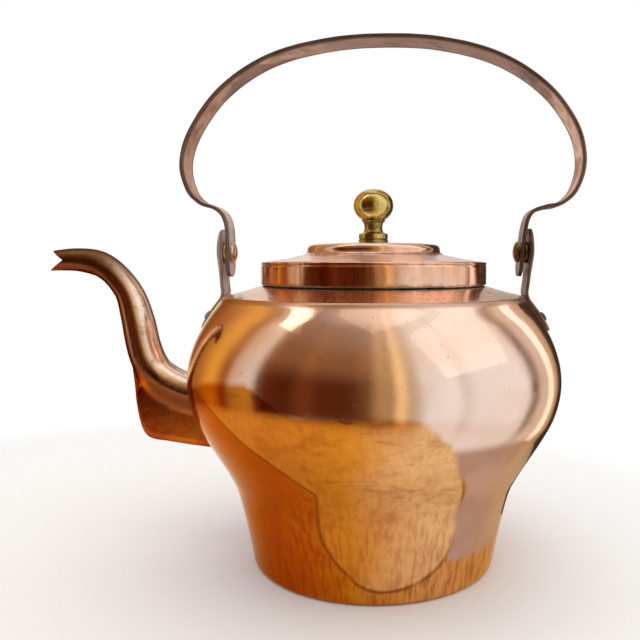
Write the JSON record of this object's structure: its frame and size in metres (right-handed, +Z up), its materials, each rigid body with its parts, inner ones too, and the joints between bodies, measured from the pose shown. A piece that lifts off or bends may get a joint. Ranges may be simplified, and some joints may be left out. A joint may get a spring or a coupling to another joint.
{
  "type": "copper kettle",
  "caption": "Copper kettle with a bellied body, gooseneck spout, lift-off lid with a brass knob, and a flat strap handle that swings on riveted ears.",
  "frame": {"origin": "centre of the flat underside, at the bottom of the base plate", "axes": "+Z up, -X toward the spout, the handle swings about X, and +Y runs across the strap"},
  "size_m": [0.3014, 0.2072, 0.291],
  "materials": {
    "wall_copper": "mirror-polished copper",
    "base_copper": "satin copper, scuffed",
    "shoulder_copper": "polished copper with fine tarnish specks",
    "collar_tin": "tinned copper",
    "spout_copper": "satin copper, darker than the body",
    "lid_copper": "mirror-polished copper",
    "brass_bright": "polished yellow brass",
    "tin_plate": "tinned",
    "strap_copper": "aged satin copper with dark patina",
    "ear_copper": "aged satin copper with dark patina",
    "rivet_copper": "worn copper"
  },
  "bodies": {
    "kettle": {"body_wall": "wall_copper", "base_plate": "base_copper", "shoulder_plate": "shoulder_copper", "neck_collar": "collar_tin", "spout": "spout_copper", "bracket_left": "ear_copper", "bracket_right": "ear_copper", "pivot_rivet_left": "brass_bright", "pivot_rivet_right": "brass_bright", "pivot_washer_left": "brass_bright", "pivot_washer_right": "brass_bright", "foot_rivet_left_front": "rivet_copper", "foot_rivet_left_rear": "rivet_copper", "foot_rivet_right_front": "rivet_copper", "foot_rivet_right_rear": "rivet_copper"},
    "handle": {"handle_strap": "strap_copper"},
    "lid": {"lid_skirt": "lid_copper", "lid_cover": "lid_copper", "lid_knob": "brass_bright", "knob_washer": "tin_plate", "knob_screw": "brass_bright"}
  },
  "joints": [
    {"name": "handle_swing", "type": "hinge", "parent": "kettle", "child": "handle", "pos_m": [0, 0, 0.1738], "axis": [1, 0, 0], "range_deg": [-110, 110]},
    {"name": "lid_lift", "type": "slide", "parent": "kettle", "child": "lid", "axis": [0, 0, 1], "range_m": [0, 0.06]}
  ]
}
